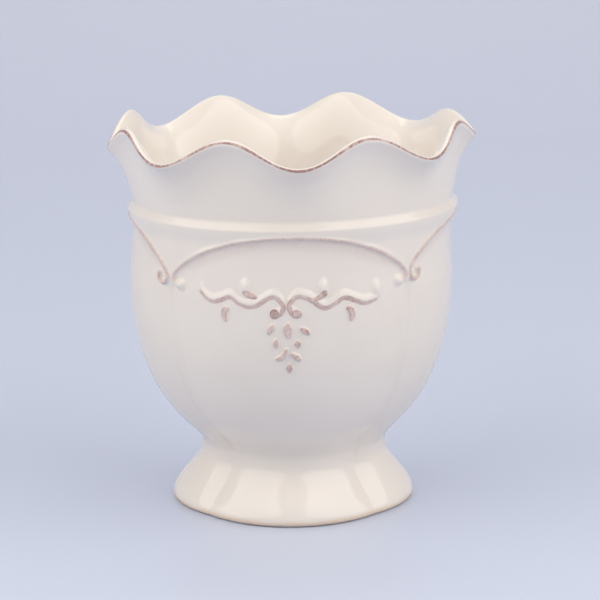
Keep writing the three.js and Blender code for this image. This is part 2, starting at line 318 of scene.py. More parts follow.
# The turned walls of the pot: how many points they have round the axis and along each stretch of their lines
BOWL_ROUND = 640
COLLAR_ROUND = 576
BOWL_ROWS = 108
FOOT_ROWS = 64
COLLAR_ROWS = 60
EDGE_ROWS = 9
RING_ROWS = 6
LIP_ROWS = 22
BEND_ROWS = 10

# Inside the bowl: where the flat of the floor ends, the handle of the bend beside it, and how far the inner
# wall's own points keep from floor and shoulder. One in three of the outer points goes on to the inner wall
FLOOR_RADIUS = 20.0
BEND_RADIUS = 27.0
INNER_MARGIN = 3.0
INNER_STEP = 3
# A ring of the bowl's inner wall lies this far below its seam, so that the wall looks straight there
SEAM_RING = 0.1
# Hidden faces at the waist: the height of the bowl's underside, its skirt inside the foot, and the poles
UNDERSIDE = WAIST_HEIGHT - 0.4
SKIRT_TOP_RADIUS = WAIST_RADIUS - 2.5
SKIRT_LOW_RADIUS = WAIST_RADIUS - 1.5
BOWL_POLE_RADIUS = 6.0
FOOT_POLE_RADIUS = 8.0
# The hollow of the foot ends this far below the waist. It has every second of the outer wall's rows, from a
# few rows over the edge upwards
HOLLOW_MARGIN = 1.0
HOLLOW_START = 4
HOLLOW_STEP = 2

# The resting ring is bare clay: how far in it starts, and the heights between which the glaze begins
RING_INSET = 0.2
BARE_EDGE = (1.9, 2.6)
# That edge wavers up and down by this much, as the product of two waves round the foot
BARE_WAVER = 0.25
BARE_WAVES = (5, 11)

# The lip starts at this share of the collar's height, and the collar's hidden end runs down inside the bowl
LIP_START = 0.965
HIDDEN_END = (0.1, -1.5)
# The band of stain on the lip: its middle, from the outer edge, and where it thins out on each side of it
BAND_MIDDLE = 0.55 * LIP
BAND_INNER = 0.38
BAND_OUTER = 0.66
# The band's width wavers round the rim: how much, how often and from which turn
BAND_WAVES = ((0.12, 7, 1.0), (0.08, 23, 0.0))


def spun(line, steps):
    """Grids of angle, radius and height for a line of radii and heights, turned round the axis."""
    angle, radius = np.meshgrid(np.linspace(0.0, 2 * np.pi, steps, endpoint=False), line[:, 0])
    height = np.repeat(line[:, 1:], steps, axis=1)
    return angle, radius, height


def inner_line(curve, distance):
    """The other face of a wall: each point of the curve moved to its left by the distance."""
    along = directions(curve)
    return curve + distance * np.stack([-along[:, 1], along[:, 0]], axis=1)


def waist_line(heights, past_joint):
    """The outer line at these heights, which runs inside the other piece's face past the joint."""
    tuck = TUCK * smooth(*TUCK_FADE, past_joint)
    return np.stack([crest_radius(heights) - tuck, heights], axis=1)


def bowl_piece():
    """The bowl: its lobed outer wall from waist to shoulder, then the inner wall down to the floor."""
    heights = np.linspace(WAIST_HEIGHT - LAP, SHOULDER_HEIGHT, BOWL_ROWS)
    outer = waist_line(heights, WAIST_HEIGHT - heights)
    floor = WAIST_HEIGHT + FLOOR
    neck_radius = SHOULDER_RADIUS - WALL
    inner = inner_line(outer, WALL)[::INNER_STEP]
    clear_of_floor = inner[:, 1] > floor + INNER_MARGIN
    clear_of_seam = inner[:, 1] < SHOULDER_HEIGHT - INNER_MARGIN
    seam = [(neck_radius, SHOULDER_HEIGHT - SEAM_RING), (neck_radius, SHOULDER_HEIGHT)]
    inner = np.vstack([inner[clear_of_floor & clear_of_seam], seam])[::-1]
    bend = bezier([inner[-1], 2 * inner[-1] - inner[-2], (BEND_RADIUS, floor), (FLOOR_RADIUS, floor)],
                  BEND_ROWS)
    underside = [(BOWL_POLE_RADIUS, UNDERSIDE), (SKIRT_TOP_RADIUS, UNDERSIDE),
                 (SKIRT_LOW_RADIUS, heights[0])]
    line = np.vstack([underside, outer, inner, bend[1:], [(BOWL_POLE_RADIUS, floor)]])
    angle, radius, height = spun(line, BOWL_ROUND)
    places = turned_place(angle, lobed(angle, height, radius), height)
    return grid_piece("bowl_wall", places, ["bowl"], {}, closed_round=True, poles=(0, -1))


def foot_piece():
    """The foot: lobed outside from waist to table, a bare flat ring, and the hollow inside."""
    heights = np.linspace(WAIST_HEIGHT + LAP, FOOT_EDGE, FOOT_ROWS)
    outer = waist_line(heights, heights - WAIST_HEIGHT)
    turn = np.linspace(0.0, 0.5 * np.pi, EDGE_ROWS)[1:]
    edge = outer[-1] - np.stack([FOOT_TUCK * (1.0 - np.cos(turn)), FOOT_EDGE * np.sin(turn)], axis=1)
    ring_start = FOOT_RADIUS - FOOT_TUCK - RING_INSET
    ring_radii = np.linspace(ring_start, FOOT_RADIUS - FOOT_WALL, RING_ROWS)
    ring = np.stack([ring_radii, np.zeros(RING_ROWS)], axis=1)
    inner = inner_line(outer[::-1], FOOT_WALL)[HOLLOW_START::HOLLOW_STEP]
    inner = inner[inner[:, 1] < WAIST_HEIGHT - HOLLOW_MARGIN]
    line = np.vstack([outer, edge, ring, inner, [(FOOT_POLE_RADIUS, UNDERSIDE)]])[::-1]
    angle, radius, height = spun(line, BOWL_ROUND)
    waver = BARE_WAVER * np.sin(BARE_WAVES[0] * angle) * np.sin(BARE_WAVES[1] * angle)
    bare = 1.0 - smooth(*BARE_EDGE, height + waver)
    places = turned_place(angle, lobed(angle, height, radius), height)
    return grid_piece("foot_wall", places, ["foot"], {"bare": bare}, closed_round=True, poles=(0, -1))


def collar_piece():
    """The collar: up its outer wall, round the lip in a half circle, and down the inner wall.

    The stain lies in a wavering band on the outer half of the lip, and the top is wiped clean.
    """
    share = np.linspace(0.0, LIP_START, COLLAR_ROWS)
    outer = np.stack([lerp(SHOULDER_RADIUS, RIM_RADIUS, collar_lean(share)),
                      lerp(SHOULDER_HEIGHT, RIM_HEIGHT, share)], axis=1)
    inner = inner_line(outer, lerp(WALL, LIP, share / LIP_START)[:, None])
    inner[0] = (SHOULDER_RADIUS - WALL, SHOULDER_HEIGHT)
    middle = 0.5 * (outer[-1] + inner[-1])
    across = outer[-1] - middle
    along = np.array([-across[1], across[0]])
    turn = np.linspace(0.0, np.pi, LIP_ROWS)[1:-1, None]
    lip = middle + np.cos(turn) * across + np.sin(turn) * along
    line = np.vstack([outer, lip, inner[::-1], inner[0] + HIDDEN_END])
    angle, radius, height = spun(line, COLLAR_ROUND)
    steps = np.linalg.norm(np.diff(line, axis=0), axis=1)
    way = np.concatenate([[0.0], np.cumsum(steps)])
    off_band = np.abs(way - way[len(outer) - 1] - BAND_MIDDLE)
    waver = sum(much * np.sin(often * angle + start) for much, often, start in BAND_WAVES)
    stain = 1.0 - smooth(BAND_INNER + waver, BAND_OUTER + waver, off_band[:, None])
    places = turned_place(angle, *frilled(angle, radius, height))
    return grid_piece("collar_wall", places, ["collar"], {"stain": stain}, closed_round=True)


# Relief is worked out flat, as (across, up) in millimetres, and laid on the wall as a skin. A skin lies this
# far over the wall, or twice as far for a spray, and dips this far into it at its borders
SKIN_LIFT = 0.03
# How wide those borders are, and the narrower one on the collar
BORDER = 3.0
COLLAR_BORDER = 1.0


def nearest(across, up, path, lean=1.0):
    """Distance from each place to a path and which of its points is nearest.

    Above the path, distances upwards count for less by the lean, which makes the upper slope longer.
    """
    shape = across.shape
    beside = across.reshape(-1, 1) - path[None, :, 0]
    above = up.reshape(-1, 1) - path[None, :, 1]
    distance = np.hypot(beside, np.where(above > 0.0, above / lean, above))
    return distance.min(axis=1).reshape(shape), distance.argmin(axis=1).reshape(shape)


def from_middle(across, up, middle, reach):
    """Distance from a middle as a share of the reach across and up: 1 on the ellipse that they give."""
    return np.hypot((across - middle[0]) / reach[0], (up - middle[1]) / reach[1])


# The valance under the shoulder: arches with hooks, hung from a rounded bead
BEAD_LOW = SHOULDER_HEIGHT - 0.9
BEAD_HIGH = SHOULDER_HEIGHT + 2.9
BEAD_RISE = 2.5
BEAD_SWELL = (SHOULDER_HEIGHT - 7.5, SHOULDER_HEIGHT - 0.3)
HOLLOW_RISE = 1.2
ARCH_TOP = SHOULDER_HEIGHT - 3.45
ARCH_CROWN = (ARCH_TOP - 3.0, ARCH_TOP)
ARCH_RISE = 2.4
ARCH_HANDLE = 0.65
ARCH_STEPS = 240
HOOK_HEIGHT = BELLY_HEIGHT + 7.2
HOOK_RISE = 1.75
HOOK_RADIUS = 2.5
HOOK_EDGE = (0.1, 1.6)
HOOK_STEPS = 80
PANEL_HALF = BELLY_RADIUS * np.pi / LOBES
PANEL_COLUMNS = 161
VALANCE_ROWS = 150
VALANCE_LOW = HOOK_HEIGHT - 8.0
VALANCE_HIGH = BEAD_HIGH + 4.7

# The rib between two panels: its half width, how far below the hooks it starts, and above which heights
# over the hooks the apron covers it
RIB_HALF = 1.3
RIB_FADE = 6.0
RIB_END = (HOOK_HEIGHT + 4.0, HOOK_HEIGHT + 9.0)

# Sections across the arch's line, in millimetres from it, minus below it: the rounded lip, the face under
# it, which makes up a share of the edge, and the cove that runs out on the wall
ARCH_LIP_MIDDLE = 0.6
ARCH_LIP_SPREAD = 1.6
ARCH_FACE = (-1.6, 0.5)
ARCH_FACE_SHARE = 0.4
COVE_LOW = -7.5
COVE_HIGH = 0.5
# The apron fades out this far below the hooks, and forms that meet are blended over this width
APRON_FADE = 4.5
VALANCE_CORNER = 0.3

# An open hook turns this far and ends in a knob
OPEN_TURN = np.radians(-200.0)
KNOB_RISE = 1.8
KNOB_EDGE = (0.2, 1.8)
# A rolled hook reaches further across, turns this far and ends in a ball. Between these two of its steps
# the stain is wiped off
ROLLED_REACH = 3.4
ROLLED_TURN = np.radians(-80.0)
ROLLED_WIPE = (45.0, 80.0)
BALL_DROP = 2.0
BALL_REACH = (3.1, 2.8)
BALL_RISE = 2.0
BALL_EDGE = (0.0, 1.2)

# Stain on the arch, as shares of its spread: the middle and the edge. A wider one is also stronger
ARCH_STAIN_MIDDLE = 0.3
ARCH_STAIN_EDGE = (0.6, 1.1)
ARCH_STAIN_LEAST = 0.3
ARCH_STAIN_MORE = 0.2
HOOK_STAIN_EDGE = (0.5, 1.1)
# The thin wash in the cove, partly stain and partly painted shade under the lip, and where it starts and
# ends across the arch
COVE_STAIN_AND_SHADE = 0.17
COVE_STAIN_SHADE_START = (-6.0, -1.5)
COVE_STAIN_SHADE_END = (-0.5, 0.5)
# Over which heights above the hooks the stain on the arch and the cove's wash of stain and painted shade
# begin
ARCH_STAIN_FADE = (-2.0, 0.5)
COVE_STAIN_SHADE_FADE = (2.0, 6.0)

# How the hand-finished valances differ: whether the hooks are rolled into balls, and for the left and the
# right half the spread of the stain, how far the hook hangs down, the bulge and the inset at the rib
VALANCES = {
    "front": (True, (0.7, 0.9, 0.15, 0.0), (0.85, 0.0, 0.12, 0.0)),
    "right": (False, (1.5, 0.0, 0.36, 0.0), (1.5, 0.0, 0.15, 0.0)),
    "back": (True, (0.85, 0.0, 0.12, 0.0), (0.7, 0.0, 0.12, 0.0)),
    "left": (False, (1.5, 0.0, 0.15, 0.0), (1.5, 0.9, 0.14, 1.2)),
}


def bead_swell(up):
    """Height of the apron's hollow, and of the bead that it swells into."""
    return lerp(HOLLOW_RISE, BEAD_RISE, smooth(*BEAD_SWELL, up))


def neck_turn(up):
    """The share of a height that is left where the bead turns back to the neck."""
    return 1.0 - smooth(BEAD_LOW, BEAD_HIGH, up)


def arch_distance(across, up, arch):
    """Distance from the arch's line, minus below it: the cross product with its direction gives the side."""
    along = directions(arch)
    distance, best = nearest(across, up, arch)
    side = along[best, 0] * (up - arch[best, 1]) - along[best, 1] * (across - arch[best, 0])
    return np.where(side < 0.0, -distance, distance)


def apron_relief(off_arch, up, hook_height):
    """Height of the apron.

    A rounded lip runs along the arch, with a cove below it that runs out on the wall. Above the lip
    the apron is hollow, and then swells into a bead that turns back to the neck.
    """
    lip = lerp(HOOK_RISE, ARCH_RISE, smooth(*ARCH_CROWN, up))
    lip = lip * np.exp(-0.5 * ((off_arch - ARCH_LIP_MIDDLE) / ARCH_LIP_SPREAD) ** 2)
    cove = np.clip((off_arch - COVE_LOW) / (COVE_HIGH - COVE_LOW), 0.0, 1.0) ** 2
    edge = lerp(cove, smooth(*ARCH_FACE, off_arch), ARCH_FACE_SHARE)
    apron = blend_max(lip, bead_swell(up), VALANCE_CORNER) * edge
    return apron * smooth(hook_height - APRON_FADE, hook_height, up) * neck_turn(up)


def hook_form(across, up, half_span, hook_height, rolled):
    """Height of the hook at the end of an arch, the distance from its line, and how far it is wiped clean.

    Its line is a stretch of an ellipse, which turns back under the arch and ends in a ball or a knob.
    """
    reach = ROLLED_REACH if rolled else HOOK_RADIUS
    turn = np.linspace(0.0, ROLLED_TURN if rolled else OPEN_TURN, HOOK_STEPS)
    hook = np.stack([half_span - reach + reach * np.cos(turn),
                     hook_height + HOOK_RADIUS * np.sin(turn)], axis=1)
    off_hook, best = nearest(across, up, hook)
    curl = HOOK_RISE * (1.0 - smooth(*HOOK_EDGE, off_hook))
    if rolled:
        off_ball = from_middle(across, up, (half_span - reach, hook_height - BALL_DROP), BALL_REACH)
        end = BALL_RISE * (1.0 - smooth(*BALL_EDGE, off_ball))
        wiped = smooth(*ROLLED_WIPE, best)
    else:
        off_knob = np.hypot(across - hook[-1, 0], up - hook[-1, 1])
        end = KNOB_RISE * (1.0 - smooth(*KNOB_EDGE, off_knob))
        wiped = 0.0
    return blend_max(curl, end, VALANCE_CORNER), off_hook, wiped


def valance_relief(across, up, rolled, spread, sink, bulge, inset):
    """Height and stain of the valance on one half panel, from its middle to the rib.

    The stain lies on the arch's lip, the spread to each side, and on the hook, with a thin wash in the
    cove that is partly stain and partly painted shade under the lip. On the rib itself all valances
    have the same height.
    """
    half_span = PANEL_HALF - RIB_HALF - inset
    hook_height = HOOK_HEIGHT - sink
    arch = bezier([(0.0, ARCH_TOP), (ARCH_HANDLE * PANEL_HALF, ARCH_TOP),
                   (half_span, lerp(hook_height, ARCH_TOP, bulge)), (half_span, hook_height)], ARCH_STEPS)
    off_arch = arch_distance(across, up, arch)
    hook, off_hook, wiped = hook_form(across, up, half_span, hook_height, rolled)
    relief = blend_max(apron_relief(off_arch, up, hook_height), hook, VALANCE_CORNER)
    rib = bead_swell(up) * smooth(HOOK_HEIGHT - RIB_FADE, HOOK_HEIGHT, up) * neck_turn(up)
    by_rib = smooth(half_span, PANEL_HALF, across) * (1.0 - smooth(*RIB_END, up))
    relief = lerp(relief, rib, by_rib)

    low_edge, high_edge = spread * np.array(ARCH_STAIN_EDGE)
    on_arch = 1.0 - smooth(low_edge, high_edge, np.abs(off_arch - ARCH_STAIN_MIDDLE * spread))
    on_arch = on_arch * smooth(*ARCH_STAIN_FADE, up - hook_height)
    on_hook = (1.0 - smooth(*HOOK_STAIN_EDGE, off_hook)) * (1.0 - wiped)
    strength = ARCH_STAIN_LEAST + ARCH_STAIN_MORE * spread
    # A thin wash in the cove: partly stain, partly painted shade under the arch's lip
    cove_stain_and_shade = COVE_STAIN_AND_SHADE * smooth(*COVE_STAIN_SHADE_START, off_arch) * (1.0 - smooth(*COVE_STAIN_SHADE_END, off_arch))
    cove_stain_and_shade = cove_stain_and_shade * smooth(*COVE_STAIN_SHADE_FADE, up - hook_height)
    return relief, np.maximum(strength * np.maximum(on_arch, on_hook), cove_stain_and_shade)


def valance_piece(side, facing, corners):
    """A skin over the shoulder on one panel, made of a left half, turned round, and a right half."""
    half = np.linspace(0.0, PANEL_HALF, PANEL_COLUMNS)
    heights = np.linspace(VALANCE_LOW, VALANCE_HIGH, VALANCE_ROWS)
    flat = np.meshgrid(half, heights)
    rolled, *shapes = VALANCES[side]
    halves = [valance_relief(*flat, rolled, *shape) for shape in shapes]
    # The stain grid also holds the cove's wash, which is partly painted shade
    relief, stain = (np.hstack([left[:, :0:-1], right]) for left, right in zip(*halves))
    panel = np.concatenate([-half[:0:-1], half])
    angle, height = np.meshgrid(facing + panel / BELLY_RADIUS, heights)
    border = smooth(0.0, BORDER, height - heights[0]) * smooth(0.0, COLLAR_BORDER, heights[-1] - height)
    radius = wall_radius(angle, height) + relief + lerp(-SKIN_LIFT, SKIN_LIFT, border)
    places = turned_place(angle, radius, height)
    replaced = ["shoulder_bead", f"arch_{side}"] + [f"spandrel_{corner}" for corner in corners]
    return grid_piece(f"valance_{side}", places, replaced, {"stain": stain})


# The spray, as (across, up) from its eye, a little below the belly, and the skin that it lies on
SPRAY_HEIGHT = BELLY_HEIGHT - 3.3
SPRAY_HALF = 40.0
SPRAY_LOW = SPRAY_HEIGHT - 27.5
SPRAY_HIGH = SPRAY_HEIGHT + 20.5
SPRAY_COLUMNS = 390
SPRAY_ROWS = 240
SPAN_STEPS = 12
# Scrolls: the line of the stain and its half width; the ridge above it slopes down through the stain
SCROLLS = {
    "scroll_left": ([(-5.1, -1.3), (-2.8, -0.1), (-2.3, 2.8), (-5.2, 5.7), (-8.3, 4.9), (-11.6, 2.7),
                     (-15.2, 1.9), (-18.8, 3.0), (-22.3, 5.1), (-25.7, 3.9), (-29.2, 3.0),
                     (-32.2, 4.0), (-34.6, 6.1)], 0.85),
    "scroll_right": ([(2.8, -1.1), (0.8, 0.0), (0.1, 2.9), (2.4, 5.7), (5.4, 5.6), (8.6, 4.2),
                      (11.5, 2.0), (13.7, 1.4), (16.6, 2.6), (19.4, 4.4), (21.6, 4.7), (25.0, 3.3),
                      (28.4, 2.0), (31.2, 2.2), (33.5, 2.8)], 0.9),
}
# Drops and leaves: the line of each, its half width where it is fullest, and at which share that is
DROPS = {
    "leaf_left": ([(-16.6, 7.2), (-14.7, 6.5), (-12.5, 5.8)], 1.15, 0.4),
    "leaf_right": ([(8.4, 4.7), (10.8, 5.5), (12.7, 6.8), (13.4, 7.5)], 1.2, 0.75),
    "hanging_left": ([(-23.3, 0.9), (-24.3, 0.2), (-24.7, -1.3), (-24.3, -3.4)], 1.15, 0.45),
    "hanging_right": ([(22.1, 0.9), (23.1, 0.0), (23.7, -1.8), (23.4, -3.3)], 1.2, 0.55),
    "drop_top_left": ([(-6.1, -4.9), (-7.6, -7.6)], 0.95, 0.45),
    "drop_top_middle": ([(-0.5, -4.9), (-0.7, -6.4), (-0.4, -8.6)], 1.55, 0.4),
    "drop_top_right": ([(4.7, -6.1), (6.9, -7.9)], 1.0, 0.45),
    "drop_second_left": ([(-4.9, -10.5), (-5.1, -11.6), (-4.9, -12.8)], 1.0, 0.55),
    "drop_second_right": ([(2.9, -11.2), (3.1, -12.6)], 1.15, 0.35),
    "drop_third_left": ([(-1.3, -14.2), (-1.8, -15.8), (-3.1, -17.3), (-4.6, -17.7)], 0.9, 0.65),
    "drop_third_right": ([(1.1, -16.0), (3.7, -17.9)], 1.0, 0.65),
    "drop_bottom": ([(-0.1, -20.3), (-0.1, -22.4)], 1.15, 0.4),
}
# Volutes, the round ends of the scrolls: the middle, and the reach across and up
VOLUTES = {
    "volute_left": ((-5.4, -0.4), (1.75, 1.9)),
    "volute_right": ((2.8, -0.4), (1.9, 1.65)),
}
# Soft swellings of the leaves above the scrolls: the middle, the reach across and up, and the rise
SWELLINGS = {
    "tip_left": ((-34.7, 7.6), (1.2, 2.4), 1.3),
    "leaf_left": ((-17.4, 8.8), (2.8, 2.8), 1.0),
    "ridge_left": ((-16.4, 9.6), (1.1, 2.2), 1.2),
    "leaf_right": ((11.6, 8.8), (2.8, 2.8), 1.0),
    "ridge_right": ((12.6, 9.6), (1.1, 2.3), 1.3),
    "leaf_far_right": ((27.0, 9.0), (5.0, 3.5), 0.7),
    "tip_right": ((34.5, 6.4), (1.8, 2.8), 1.8),
}
SPRAY_NODES = (
    "scroll_left", "scroll_right", "leaf_upper_left", "leaf_upper_right", "leaf_hanging_left",
    "leaf_hanging_right", "drop_top_left", "drop_top_middle", "drop_top_right", "drop_second_left",
    "drop_second_right", "drop_third_left", "drop_third_right", "drop_bottom")

# A scroll's leaf: its rise, where its edge falls, how far its ridge lies over the stain, and how much longer
# its upper slope is
SCROLL_RISE = 1.4
SCROLL_EDGE = (0.1, 1.9)
RIDGE_OFFSET = 0.7
RIDGE_LEAN = 2.6
# The stain of a scroll narrows by a share towards its end, past this share of its line
SCROLL_TAPER = 0.2
TAPER_START = 0.88
# Drops and volutes: their rise and where their edges fall
DROP_RISE = 1.3
DROP_EDGE = (-0.35, 0.65)
VOLUTE_EDGE = (0.8, 1.35)
# A drop's width at its ends, as a share of its fullest, and the power that makes it blunt
DROP_END = 0.6
DROP_BLUNT = 0.7
# How widely scrolls, and then drops and volutes, are blended with what is round them
SCROLL_CORNER = 0.15
DROP_CORNER = 0.1
# The stain's edge, in millimetres and as a share of a volute, and its strength: in the middle, and how much
# more it has where it settles, between two shares of the way to the edge
STAIN_EDGE = (-0.2, 0.2)
VOLUTE_STAIN_EDGE = (0.88, 1.12)
SETTLING = (0.5, 0.9)
SCROLL_STAIN = (0.6, 0.3)
DROP_STAIN = (0.7, 0.25)


def spray_line(corners):
    """The line of a scroll or drop, raised from the spray's eye to its height on the pot."""
    return spline(corners, SPAN_STEPS) + (0.0, SPRAY_HEIGHT)


def settled(far, middle, more):
    """Strength of the stain at a share of the way to its edge: darker towards the edge, where it settles."""
    return middle + more * smooth(*SETTLING, far)


def scroll_form(across, up, corners, half_width):
    """Height and stain of a scroll: the rolled edge of a leaf that runs out gently above it."""
    path = spray_line(corners)
    off_ridge, _ = nearest(across, up, path + (0.0, RIDGE_OFFSET), RIDGE_LEAN)
    rise = SCROLL_RISE * (1.0 - smooth(*SCROLL_EDGE, off_ridge))
    distance, best = nearest(across, up, path)
    half = half_width * (1.0 - SCROLL_TAPER * smooth(TAPER_START, 1.0, best / len(path)))
    mark = settled(distance / half, *SCROLL_STAIN) * (1.0 - smooth(*STAIN_EDGE, distance - half))
    return rise, mark


def volute_form(across, up, middle, reach):
    """Height and stain of the round end of a scroll."""
    far = from_middle(across, up - SPRAY_HEIGHT, middle, reach)
    rise = DROP_RISE * (1.0 - smooth(*VOLUTE_EDGE, far))
    mark = settled(far, *DROP_STAIN) * (1.0 - smooth(*VOLUTE_STAIN_EDGE, far))
    return rise, mark


def drop_form(across, up, corners, half_width, fullest):
    """Height and stain of a drop: it swells and tapers along its line as a sine does, and has a flat top."""
    path = spray_line(corners)
    distance, best = nearest(across, up, path)
    swell = np.sin(np.pi * (best / (len(path) - 1)) ** (np.log(0.5) / np.log(fullest)))
    half = half_width * lerp(DROP_END, 1.0, swell ** DROP_BLUNT)
    rise = DROP_RISE * (1.0 - smooth(*DROP_EDGE, distance - half))
    mark = settled(distance / half, *DROP_STAIN) * (1.0 - smooth(*STAIN_EDGE, distance - half))
    return rise, mark


def spray_relief(across, up):
    """Height and stain of the spray: the swellings added up, and each form laid over what is below it."""
    relief = np.zeros_like(across)
    stain = np.zeros_like(across)
    for middle, reach, rise in SWELLINGS.values():
        far = from_middle(across, up - SPRAY_HEIGHT, middle, reach)
        relief = relief + rise * np.exp(-0.5 * far ** 2)
    forms = [(*scroll_form(across, up, *scroll), SCROLL_CORNER) for scroll in SCROLLS.values()]
    forms += [(*volute_form(across, up, *volute), DROP_CORNER) for volute in VOLUTES.values()]
    forms += [(*drop_form(across, up, *drop), DROP_CORNER) for drop in DROPS.values()]
    for rise, mark, corner in forms:
        relief = blend_max(relief, rise, corner)
        stain = np.maximum(stain, mark)
    return relief, stain


def spray_piece(side, facing):
    """A skin with the spray, laid on the wall round the middle of a panel."""
    across, up = np.meshgrid(np.linspace(-SPRAY_HALF, SPRAY_HALF, SPRAY_COLUMNS),
                             np.linspace(SPRAY_LOW, SPRAY_HIGH, SPRAY_ROWS))
    relief, stain = spray_relief(across, up)
    border = smooth(0.0, BORDER, SPRAY_HALF - np.abs(across))
    border = border * smooth(0.0, BORDER, up - SPRAY_LOW) * smooth(0.0, BORDER, SPRAY_HIGH - up)
    angle = facing + across / BELLY_RADIUS
    radius = wall_radius(angle, up) + relief * border + lerp(-SKIN_LIFT, 2 * SKIN_LIFT, border)
    replaced = [f"{side}_{node}" for node in SPRAY_NODES]
    return grid_piece(f"spray_{side}", turned_place(angle, radius, up), replaced, {"stain": stain})


# Finishes: each lies between two colours, and the brown is the darker one where the stain is thick
CREAM = ((0.83, 0.77, 0.715), (0.855, 0.795, 0.745))
BROWN = ((0.56, 0.335, 0.305), (0.36, 0.222, 0.205))
CLAY = ((0.72, 0.59, 0.48), (0.82, 0.70, 0.59))
# The far paper colour is paler: painted light that stands in for the brighter backdrop
PAPER_NEAR = ((0.584, 0.637, 0.786), (0.594, 0.647, 0.796))
PAPER_FAR_PAINTED_LIGHT = ((0.73, 0.77, 0.92), (0.74, 0.78, 0.93))
# Noises: how many of their waves go into a metre, and how many finer ones are added
GLAZE_DRIFT = (22.0, 2.0)
GLOSS_DRIFT = (60.0, 2.0)
GLAZE_WAVES = (110.0, 1.0)
SPONGE_COARSE = (150.0, 3.0)
SPONGE_FINE = (800.0, 4.0)
CLAY_GRAIN = (900.0, 4.0)
PAPER_GRAIN = (9.0, 3.0)
# Most of a noise lies in the first range. In the second the sponge goes from wiping most to wiping least
NOISE_MIDDLE = (0.3, 0.7)
SPONGE_MIDDLE = (0.35, 0.6)
# How much stain the sponge leaves, from where it wipes most to least, and how thick the darker stain is
COARSE_LEFT = (0.72, 1.06)
FINE_LEFT = (0.7, 1.1)
THICK_STAIN = (0.55, 0.95)
WHOLE = (0.0, 1.0)
# Gloss, and how the glaze waves in height
GLAZE_ROUGHNESS = (0.03, 0.06)
STAIN_ROUGHNESS = 0.4
CLAY_ROUGHNESS = 0.75
PAPER_ROUGHNESS = 0.26
PAPER_SPECULAR = 0.5
GLAZE_IOR = 1.5
GLAZE_WAVE_STRENGTH = 0.08
GLAZE_WAVE_HEIGHT = 0.0004


def node(tree, kind, **settings):
    """A new node, with its inputs or its own settings given by name."""
    made = tree.nodes.new(kind)
    for key, value in settings.items():
        if key in made.inputs:
            made.inputs[key].default_value = value
        else:
            setattr(made, key.lower(), value)
    return made


def mixed(tree, share, first, second):
    """A colour between two, each either a fixed colour or the output of a node."""
    mix = tree.nodes.new("ShaderNodeMix")
    mix.data_type = "RGBA"
    tree.links.new(share, mix.inputs[0])
    for socket, value in ((mix.inputs[6], first), (mix.inputs[7], second)):
        if isinstance(value, tuple):
            socket.default_value = (*value, 1.0)
        else:
            tree.links.new(value, socket)
    return mix.outputs[2]


def ranged(tree, value, old_range, new_range):
    """A value moved from one range to another by an S-shaped step."""
    step = node(tree, "ShaderNodeMapRange", **{
        "From Min": old_range[0], "From Max": old_range[1],
        "To Min": new_range[0], "To Max": new_range[1]})
    step.interpolation_type = "SMOOTHSTEP"
    tree.links.new(value, step.inputs["Value"])
    return step.outputs["Result"]


def times(tree, first, second):
    product = tree.nodes.new("ShaderNodeMath")
    product.operation = "MULTIPLY"
    tree.links.new(first, product.inputs[0])
    tree.links.new(second, product.inputs[1])
    return product.outputs[0]


def noise(tree, place, scale, detail):
    made = node(tree, "ShaderNodeTexNoise", Scale=scale, Detail=detail)
    tree.links.new(place, made.inputs["Vector"])
    return made.outputs["Fac"]


def new_material(name):
    """A new material, its node tree, its shader and the places on the piece that it is laid on."""
    material = bpy.data.materials.new(name)
    material.use_nodes = True
    tree = material.node_tree
    place = tree.nodes.new("ShaderNodeTexCoord").outputs["Object"]
    return material, tree, tree.nodes["Principled BSDF"], place


def glaze():
    """Cream glaze over a rubbed stain.

    The glaze drifts a little in colour and waves a little in height. The stain is broken up by two
    sizes of noise, as if wiped with a sponge, and the bare clay of the foot ring is dull and grainy.
    """
    material, tree, shader, place = new_material("cream_glaze_over_stain")
    # The stain attribute also holds a thin wash of painted shade in the coves under the arches
    stain = node(tree, "ShaderNodeAttribute", Attribute_name="stain").outputs["Fac"]
    bare = node(tree, "ShaderNodeAttribute", Attribute_name="bare").outputs["Fac"]

    cream = mixed(tree, ranged(tree, noise(tree, place, *GLAZE_DRIFT), NOISE_MIDDLE, WHOLE), *CREAM)
    wiped = times(tree, ranged(tree, noise(tree, place, *SPONGE_COARSE), SPONGE_MIDDLE, COARSE_LEFT),
                  ranged(tree, noise(tree, place, *SPONGE_FINE), SPONGE_MIDDLE, FINE_LEFT))
    covered = times(tree, stain, wiped)
    brown = mixed(tree, ranged(tree, covered, THICK_STAIN, WHOLE), *BROWN)
    stained = mixed(tree, covered, cream, brown)
    clay = mixed(tree, noise(tree, place, *CLAY_GRAIN), *CLAY)
    tree.links.new(mixed(tree, bare, stained, clay), shader.inputs["Base Color"])

    gloss = ranged(tree, noise(tree, place, *GLOSS_DRIFT), NOISE_MIDDLE, GLAZE_ROUGHNESS)
    for share, roughness in ((covered, STAIN_ROUGHNESS), (bare, CLAY_ROUGHNESS)):
        dull = node(tree, "ShaderNodeMix")
        tree.links.new(share, dull.inputs[0])
        tree.links.new(gloss, dull.inputs[2])
        dull.inputs[3].default_value = roughness
        gloss = dull.outputs[0]
    tree.links.new(gloss, shader.inputs["Roughness"])

    bump = node(tree, "ShaderNodeBump", Strength=GLAZE_WAVE_STRENGTH, Distance=GLAZE_WAVE_HEIGHT)
    tree.links.new(noise(tree, place, *GLAZE_WAVES), bump.inputs["Height"])
    tree.links.new(bump.outputs["Normal"], shader.inputs["Normal"])
    shader.inputs["IOR"].default_value = GLAZE_IOR
    return material


